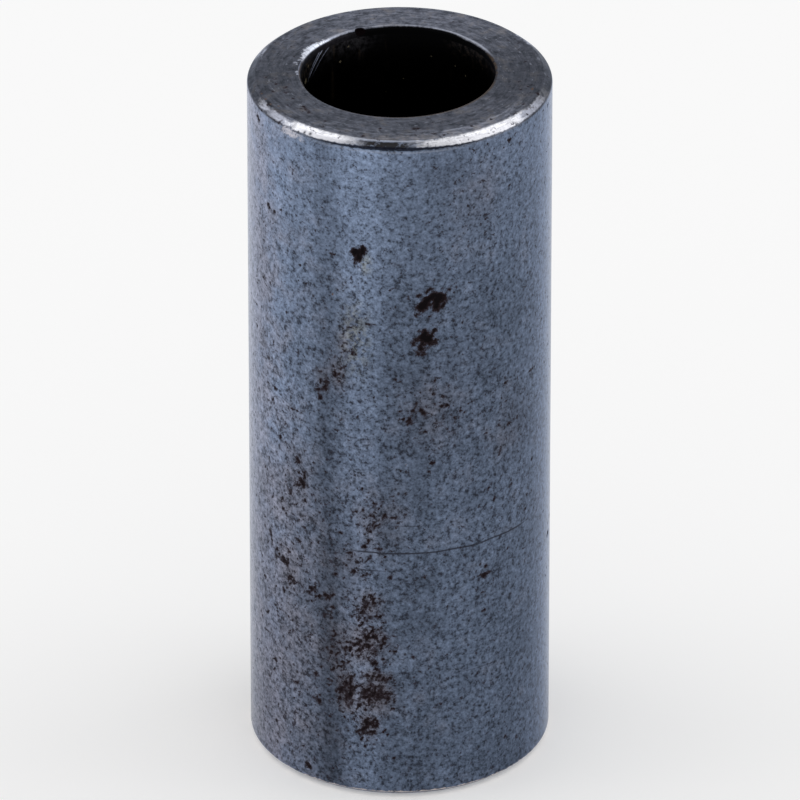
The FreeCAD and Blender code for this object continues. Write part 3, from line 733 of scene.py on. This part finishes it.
def rimFinish(at, wall, face):
    # the upper chamfer: bare and bright where it is rubbed, partly a painted highlight of the soft boxes,
    # dull and stained at the front, as the face at the sides, with a painted dark line of shade in the
    # shoulder under it
    noise, angle, drop, radius, ragged = at["noise"], at["angle"], at["drop"], at["radius"], at["ragged"]
    brushed = noise(1.0, 2.0, 0.7, 52.0, at["ringed"](14.0, drop * 14.0))
    turnEdge = angle + ragged * 9
    front = angle.near(-4, 34)    # where the painted dark line of shade under the chamfer starts higher
    lowEdge = 0.44 - front * 0.12 + ragged * 0.16
    inside = (drop - lowEdge).fall(-0.05, 0.05)
    inner = angle.near(-27, 24) * 0.10 + angle.near(35, 28) * 0.10 - angle.within(-75, -50, 5) * 0.10
    outward = (radius + inner + ragged * 0.22).rise(10.34, 10.54)
    onChamfer = drop.fall(0.50, 0.66) * radius.rise(10.22, 10.36)

    rim = lay(angle.near(0, 60), face, wall)
    wornBack = noise(0.2, 2.0, 0.6, 53.0).rise(0.52, 0.62) * abs(angle).rise(98, 112)
    wornBack = wornBack * brushed.rise(0.42, 0.62)
    rim = lay(wornBack * inside, rim, coat("bareSoft", 0.4))

    # how far the metal is rubbed bare, round the chamfer, partly a painted highlight where the soft boxes are
    # mirrored: half at the ends, full beside the front, least in front
    half = turnEdge.within(-68, -48, 3).either(turnEdge.within(54, 72, 4))
    half = half * (drop + ragged * 0.2).rise(0.04, 0.14)
    full = turnEdge.within(-50, -14, 5).either(turnEdge.within(4, 57, 5))
    rubbedAndHighlit = (half * 0.72).either(full).either(turnEdge.within(70, 78, 4) * 0.16)
    nicks = noise(2.3, 2.0, 0.62, 61.0).rise(0.60, 0.68)
    lowHalf = turnEdge.within(-42, -15, 4) * (drop + ragged * 0.25).rise(0.16, 0.30) * 0.5
    lowHalf = lowHalf + turnEdge.within(4, 50, 10) * drop.rise(0.12, 0.34) * 0.3
    dulled = nicks.either(lowHalf).either(brushed.fall(0.34, 0.54) * 0.5)
    dulled = dulled.either(noise(5.0, 1.0, 0.5, 62.0).rise(0.45, 0.7) * 0.3)
    bareColour = dulled.blend(half.blend(colours["bare"], colours["bareSoft"]), colours["bareNick"])
    patchy = rubbedAndHighlit * (brushed * 0.5 + noise(1.1, 2.0, 0.6, 63.0)).rise(0.52, 0.70).level(rubbedAndHighlit, 1.0)
    rim = lay(patchy.clamp() * inside * outward, rim, coat(bareColour.scaled(0.94 + ragged * 0.5), 0.36, 1.0))
    dull = turnEdge.within(-19, 9, 7) * inside * outward
    dullColour = brushed.rise(0.40, 0.66).blend(colours["face"], colours["bareDull"])
    rim = lay(dull * 0.85, rim, coat(dullColour, 0.42, 1.0))
    edgeLine = turnEdge.within(-18, 8, 4) * (drop + ragged * 0.04).within(-0.1, 0.07, 0.03)
    edgeLine = edgeLine * radius.rise(10.32, 10.40)
    rim = lay(edgeLine * 0.5, rim, coat("bareSoft", 0.4))
    stain = turnEdge.within(-14, 3.5, 2.5) * (drop + ragged * 0.14).within(0.10, 0.42, 0.05)
    rim = lay(stain * (ragged + 0.5).rise(0.30, 0.46) * 0.92, rim, coat("stain", 0.5))
    marks = angle.near(-38.8, 0.9) * drop.near(0.36, 0.14) + angle.near(-36.2, 1.1) * drop.near(0.33, 0.14)
    marks = marks + angle.near(-41.5, 0.7) * drop.near(0.43, 0.10)
    rim = lay(marks.clamp() * 0.85, rim, coat("rimLine", 0.5))

    # the dark line under the bare part is painted shade in the shoulder, thickest at the front
    thick = angle.near(-4, 30) * 0.10 + 0.10
    line = (drop - lowEdge).rise(-0.04, 0.05) * (drop - lowEdge - thick).fall(-0.03, 0.07)
    line = line * turnEdge.within(-36, 34, 12)
    rim = lay(line * 0.92, rim, coat("rimLine", 0.5))
    finished = lay(onChamfer.either(line), wall, rim)
    # a pale band under the dark line in front, and a painted highlight along the shoulder at the sides and
    # back
    pale = (drop - lowEdge - thick).near(0.16, 0.13) * turnEdge.within(-34, 24, 10) * 0.22
    pale = pale.either((drop - 0.56).near(0.0, 0.12) * abs(angle).rise(66, 82) * 0.5)
    finished = lay(pale, finished, coat("bareSoft", 0.35))
    smear = turnEdge.within(-50, -40, 1.5) * (drop + ragged * 0.6).within(0.54, 1.04, 0.08)
    smear = smear * (ragged + 0.5).rise(0.28, 0.40)
    scraped = (brushed * 0.6 + noise(3.2, 2.0, 0.6, 64.0) * 0.4).rise(0.40, 0.58)
    return lay(smear * 0.85, finished, coat(scraped.blend(colours["bareSoft"], colours["smear"]), 0.5, 0.8))


def faceFinish(at):
    # the end face: turned rings, dulled and freckled, rubbed lighter to the front right edge and the back
    noise, angle, radius, grain = at["noise"], at["angle"], at["radius"], at["grain"]
    rings = noise(1.0, 3.0, 0.7, 71.0, at["ringed"](4.0, radius * 5.0))
    strokes = noise(1.0, 3.0, 0.65, 72.0, at["ringed"](12.0, radius * 3.6))
    mottle = noise(0.9, 3.0, 0.65, 73.0)
    sideways = abs(angle)
    tone = 1.06 + sideways.rise(105, 165) * 0.72 - angle.near(-88, 40) * 0.34 - angle.near(88, 46) * 0.42
    edgeRub = radius.rise(8.9, 10.1) * (angle.near(28, 46) * 1.5 + angle.near(-25, 40) * 0.35)
    grit = (strokes - 0.5) * 2.2 + (grain - 0.5) * 1.7 + (rings - 0.5) * 2.0 + (mottle - 0.5) * 2.6
    tone = (tone + edgeRub) * (1 + grit).either(0.3)
    brown = (mottle + radius.rise(8.8, 9.8) * angle.near(12, 50) * 0.12).rise(0.52, 0.68) * 0.8
    face = coat(brown.blend(colours["face"], colours["faceBrown"]).scaled(tone), 0.42, 1.0)
    specks = (noise(2.2, 2.0, 0.6, 81.0) + (strokes - 0.5) * 0.45).rise(0.63, 0.72)
    face = lay(specks * 0.5, face, coat("faceDark", 0.6))
    chips = noise(1.0, 2.0, 0.65, 82.0, at["ringed"](14.0, radius * 3.6)) + edgeRub * 0.07
    face = lay(chips.rise(0.61, 0.75) * 0.5, face, coat("faceLight", 0.4))
    ridge = (radius - angle.rise(10, 50) * 0.16 + (mottle - 0.5) * 0.3).near(9.42, 0.16)
    ridge = ridge * (angle.within(-35, 10, 8) * 0.3 + angle.within(10, 58, 10) * 0.75)
    face = lay(ridge * strokes.rise(0.42, 0.60), face, coat("faceLight", 0.4))
    # the face lightens just before the rubbed chamfer
    beside = (angle.near(-28, 26) + angle.near(30, 32)).clamp()
    nearRim = (radius + at["ragged"] * 0.3).rise(9.95, 10.42) * beside
    return lay(nearRim * 0.42, face, coat("faceLight", 0.4))


def boreFinish(at):
    # oiled and dark, painted lighter near the mouth as light that fades with depth, with brown near the mouth
    noise, turn, drop, grain = at["noise"], at["boreAngle"], at["drop"], at["grain"]
    lengthwise = at["start"].node("ShaderNodeMapping", None, {"Vector": at["place"], "Scale": (1, 1, 0.15)})
    streak = noise(1.4, 2.0, 0.6, 91.0, lengthwise)
    left = turn.within(-160, -95, 16)
    right = turn.within(84, 140, 16)
    # painted light: lighter near the mouth and on the left and right, fading with depth
    side = drop.fall(0.1, 0.6) * 0.3 + left * drop.fall(0.4, 3.0) * 0.34 + right * drop.fall(0.3, 1.6) * 0.4
    side = side * (0.8 + (grain - 0.5) * 6.0)
    bore = coat(side.clamp().blend(colours["bore"], colours["boreSide"]), 0.4, 1.0)
    brown = streak.rise(0.60, 0.72) * drop.fall(2.0, 8.0) * 0.2
    brown = brown.either(right * grain.rise(0.46, 0.7) * drop.fall(0.3, 2.6) * 0.6)
    brown = brown.either(turn.near(-137.5, 2.4) * drop.within(0.6, 5.0, 0.5) * streak.rise(0.35, 0.6) * 0.6)
    brown = brown.either(turn.within(-116, -96, 4) * grain.rise(0.46, 0.62) * drop.fall(0.4, 2.2) * 0.9)
    bore = lay(brown, bore, coat("boreBrown", 0.6, 0.9))
    slant = drop - turn * (math.pi / 180 * boreRadius * 0.755)
    # the scratches painted bright as glints: a painted highlight on real scratches
    for deep, first, last, strength in wear["boreScratches"]:
        scratchGlint = abs(slant - deep + (streak - 0.5) * 0.2).fall(0.0, 0.10)
        scratchGlint = scratchGlint * turn.within(first, last, 4) * strength
        bore = lay(scratchGlint * grain.rise(0.2, 0.4), bore, coat("glint", 0.35, 0.6))
    for direction, deep, size in wear["boreFlecks"]:
        gap = awayFrom(at, boreSpot(direction, boreRadius, deep)) + (grain - 0.5) * 0.6
        bore = lay(gap.fall(size * 0.4, size) * 0.8, bore, coat("boreFleck", 0.7, 0.3))
    return bore


def mouthFinish(at, below):
    # the cone that broke the bore's edge: bright with chatter where it cut deepest, a painted highlight,
    # elsewhere painted dark as shade under a thin line
    noise, turn, out, drop, ragged = at["noise"], at["boreAngle"], at["boreOut"], at["drop"], at["ragged"]
    chatter = noise(1.0, 2.0, 0.7, 95.0, at["ringed"](36.0, out * 1.2))
    beads = noise(1.0, 2.0, 0.7, 98.0, at["ringed"](14.0, 0.0))
    onTop = drop.fall(0.07, 0.17)
    back = turn.fall(-150, -128).either(turn.rise(134, 152))
    # painted shade: the cone's lower part as dark as the bore, a little less dark on the left
    dark = (out - boreRadius - back * 0.08 + ragged * 0.05).fall(0.06, 0.18)
    dark = dark * drop.fall(0.5, 0.6) * abs(turn).rise(52, 70)
    lip = turn.within(-152, -98, 8) * (0.4 + (ragged + 0.2) * 1.6)
    mouth = lay(dark, below, coat(lip.clamp().blend(colours["bore"], colours["boreLip"]), 0.5, 1.0))
    brim = (out + ragged * 0.1 - boreRadius - back * 0.12).within(0.08, 0.27, 0.08) * onTop
    along = turn.within(114, 158, 8) * (0.35 + beads * 0.6)
    along = along + abs(turn).rise(148, 162) * (beads.rise(0.34, 0.60) * 0.4 + 0.08)
    along = along + turn.within(-153, -128, 5) * (0.2 + beads * 0.75)
    mouth = lay((brim * along).clamp(), mouth, coat("bareSoft", 0.4))
    # the crescent, a painted highlight: how far out it reaches grows and tapers round the mouth
    reach = turn.near(-119, 21) * 0.50
    crescent = turn.within(-138, -105, 3.5)
    bright = out + ragged * 0.2 + (chatter - 0.5) * 1.0 - boreRadius - reach - 0.12
    bright = bright.fall(-0.10, 0.07) * crescent * onTop
    shine = (chatter.fall(0.40, 0.56) * 0.6).either(turn.within(-120, -100, 6) * 0.25)
    shineColour = shine.blend(colours["glare"], colours["bareNick"])
    mouth = lay(bright * (0.75 + chatter * 0.5), mouth, coat(shineColour, 0.4, 1.0))
    # chips beside its end
    for direction, reached, size in wear["mouthChips"]:
        gap = awayFrom(at, boreSpot(direction, reached, 0)) + ragged * 0.5
        mouth = lay(gap.fall(size * 0.2, size) * 0.7, mouth, coat("bareSoft", 0.4))
    rusty = turn.within(84, 112, 6) * noise(2.2, 2.0, 0.6, 97.0).rise(0.40, 0.55)
    rusty = rusty * (out - boreRadius).fall(0.10, 0.22)
    rusty = rusty.either(turn.within(-104, 78, 6) * (out - boreRadius + ragged * 0.1).fall(0.10, 0.24))
    mouth = lay(rusty * 0.85 * drop.fall(0.12, 0.2), mouth, coat("boreRust", 0.6))
    # the nick painted near black: painted shade in the notch
    nickDirection, nickRadius = wear["mouthNick"]
    nicked = awayFrom(at, boreSpot(nickDirection + 90, boreRadius, 0)) + ragged * 0.12
    return lay(nicked.fall(nickRadius, nickRadius + 0.06), mouth, coat("rustCore", 0.8))


def footFinish(at, below):
    # the lower chamfer and the turn of its shoulder, bare where they scuff along the bench, with breaks, the
    # outer edge pale as a painted reflection of the floor
    noise, height, radius = at["noise"], at["height"], at["radius"]
    scuffAndReflection = (height + at["ragged"] * 0.5).fall(0.42, 0.56) * radius.rise(10.34, 10.40)
    scuffAndReflection = scuffAndReflection * (noise(1.3, 2.0, 0.6, 102.0) + at["angle"].near(-44, 8) * 0.1).fall(0.60, 0.68)
    brushed = noise(1.0, 2.0, 0.7, 103.0, at["ringed"](12.0, height * 12.0))
    dull = brushed.rise(0.36, 0.62).blend(colours["bareNick"], colours["bareSoft"])
    # the outer edge painted cream: a painted reflection of the pale floor
    pale = (height + at["ragged"] * 0.2).rise(0.24, 0.42) * brushed.rise(0.30, 0.46)
    return lay(scuffAndReflection * 0.92, below, coat(pale.blend(dull, colours["foot"]), 0.5, 0.9))


def sleeveFinish():
    material = bpy.data.materials.new("blued_steel")
    material.use_nodes = True
    tree = material.node_tree
    tree.nodes.clear()
    at = fieldsOn(tree)
    start, height, drop, radius = at["start"], at["height"], at["drop"], at["radius"]
    wall = wallFinish(at)
    face = faceFinish(at)
    onFace = drop.fall(0.02, 0.05) * radius.fall(10.37, 10.42)
    onFace = onFace.either(height.fall(0.02, 0.04) * radius.fall(10.32, 10.38))
    whole = lay(onFace, wall, face)
    whole = rimFinish(at, whole, face)
    whole = rustOver(at, whole)
    whole = footFinish(at, whole)
    inBore = at["boreOut"].fall(boreRadius + 0.02, boreRadius + 0.05)
    inWall = at["boreOut"].fall(boreRadius + 0.8, boreRadius + 1.0)
    inBore = inBore.either(inWall * drop.rise(0.3, 0.4) * height.rise(0.3, 0.4))
    whole = lay(inBore, whole, boreFinish(at))
    whole = mouthFinish(at, whole)
    relief = at["grain"] - at["pit"].rise(-0.1, 0.1) * 0.6
    bump = start.node("ShaderNodeBump", None, {"Strength": 0.6, "Distance": 0.00002, "Height": relief})
    shader = start.node("ShaderNodeBsdfPrincipled", None, {
        "Base Color": whole["colour"], "Roughness": whole["rough"], "Metallic": whole["metal"],
        "Normal": bump, "Specular Tint": colours["edgeTint"]})
    tree.links.new(shader.socket, tree.nodes.new("ShaderNodeOutputMaterial").inputs["Surface"])
    return material


skinFinish = sleeveFinish()
print("finish built:", len(skinFinish.node_tree.nodes), "nodes")
skin = latheSkin(skinFinish)
wearDown(skin)
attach(skin, "root")
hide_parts("spacer_sleeve")
print("skin turned:", len(skin.data.polygons), "faces")


studio = {
    "floorHalf": 6.0,
    "floorColour": (0.8, 0.8, 0.8, 1),
    "floorGlow": 0.22,         # to the camera and in reflections
    "roomStrength": 0.72,      # what the room gives to matt surfaces
    "backdropStrength": 1.0,
    # soft boxes: azimuth from the camera (positive to the right), elevation, distance, width, height, watts
    "softBoxes": [(-97, 48, 0.7, 0.5, 0.5, 0.76), (99, 46, 0.7, 0.5, 0.5, 0.76)],
}


def buildStudio():
    scene = bpy.context.scene
    scene.view_settings.view_transform = "Standard"
    half = studio["floorHalf"]
    mesh = bpy.data.meshes.new("floor")
    corners = [(-half, -half, 0), (half, -half, 0), (half, half, 0), (-half, half, 0)]
    mesh.from_pydata(corners, [], [(0, 1, 2, 3)])
    floor = bpy.data.objects.new("floor", mesh)
    scene.collection.objects.link(floor)

    def seenDirectly(start):    # 1 for the camera and in reflections, 0 for light on matt surfaces
        ray = start.node("ShaderNodeLightPath", None, None, "Is Camera Ray")
        return ray.either(ray.twin("Is Glossy Ray")).either(ray.twin("Is Transmission Ray"))

    material = bpy.data.materials.new("floor")
    material.use_nodes = True
    tree = material.node_tree
    tree.nodes.clear()
    start = Wire(tree)
    diffuse = start.node("ShaderNodeBsdfDiffuse", None, {"Color": studio["floorColour"]})
    strength = seenDirectly(start) * studio["floorGlow"]
    glow = start.node("ShaderNodeEmission", None, {"Color": (1, 1, 1, 1), "Strength": strength})
    lit = start.node("ShaderNodeAddShader", None, [diffuse, glow])
    clear = start.node("ShaderNodeBsdfTransparent")
    below = start.node("ShaderNodeNewGeometry", None, None, "Backfacing")
    shown = start.node("ShaderNodeMixShader", None, {0: below, 1: lit, 2: clear})
    tree.links.new(shown.socket, tree.nodes.new("ShaderNodeOutputMaterial").inputs["Surface"])
    mesh.materials.append(material)

    world = bpy.data.worlds.new("studio")
    scene.world = world
    world.use_nodes = True
    tree = world.node_tree
    tree.nodes.clear()
    start = Wire(tree)
    room, white = [start.node("ShaderNodeBackground", None, {"Color": (1, 1, 1, 1), "Strength": studio[name]})
                   for name in ("roomStrength", "backdropStrength")]
    both = start.node("ShaderNodeMixShader", None, {0: seenDirectly(start), 1: room, 2: white})
    tree.links.new(both.socket, tree.nodes.new("ShaderNodeOutputWorld").inputs["Surface"])

    aim = Vector((0, 0, sleeveLength / 2 * mm))
    for number, (azimuth, elevation, distance, width, tall, watts) in enumerate(studio["softBoxes"]):
        light = bpy.data.lights.new("softBox%d" % number, "AREA")
        light.shape = "RECTANGLE"
        light.size = width
        light.size_y = tall
        light.energy = watts
        lamp = bpy.data.objects.new("softBox%d" % number, light)
        turn = math.radians(azimuth)
        up = math.radians(elevation)
        back = Vector((math.sin(turn) * math.cos(up), -math.cos(turn) * math.cos(up), math.sin(up)))
        lamp.location = aim + back * distance
        lamp.rotation_euler = back.to_track_quat("Z", "Y").to_euler()
        scene.collection.objects.link(lamp)


view = {
    "elevation": 28.98,
    "distance": 0.946,      # metres from the sleeve's middle
    "aside": 0.02,          # millimetres that the view's middle lies off the sleeve's
    "above": 0.15,
    "lens": 584.1,
    "clip": (0.05, 50),
}


def buildCamera():
    data = bpy.data.cameras.new("view")
    data.lens = view["lens"]
    data.sensor_width = 36
    data.clip_start, data.clip_end = view["clip"]
    camera = bpy.data.objects.new("view", data)
    up = math.radians(view["elevation"])
    back = Vector((0, -math.cos(up), math.sin(up)))
    middle = Vector((view["aside"], 0, sleeveLength / 2 + view["above"])) * mm
    camera.location = middle + back * view["distance"]
    camera.rotation_euler = back.to_track_quat("Z", "Y").to_euler()
    bpy.context.scene.collection.objects.link(camera)
    bpy.context.scene.camera = camera


buildStudio()
buildCamera()
print("studio and camera ready")
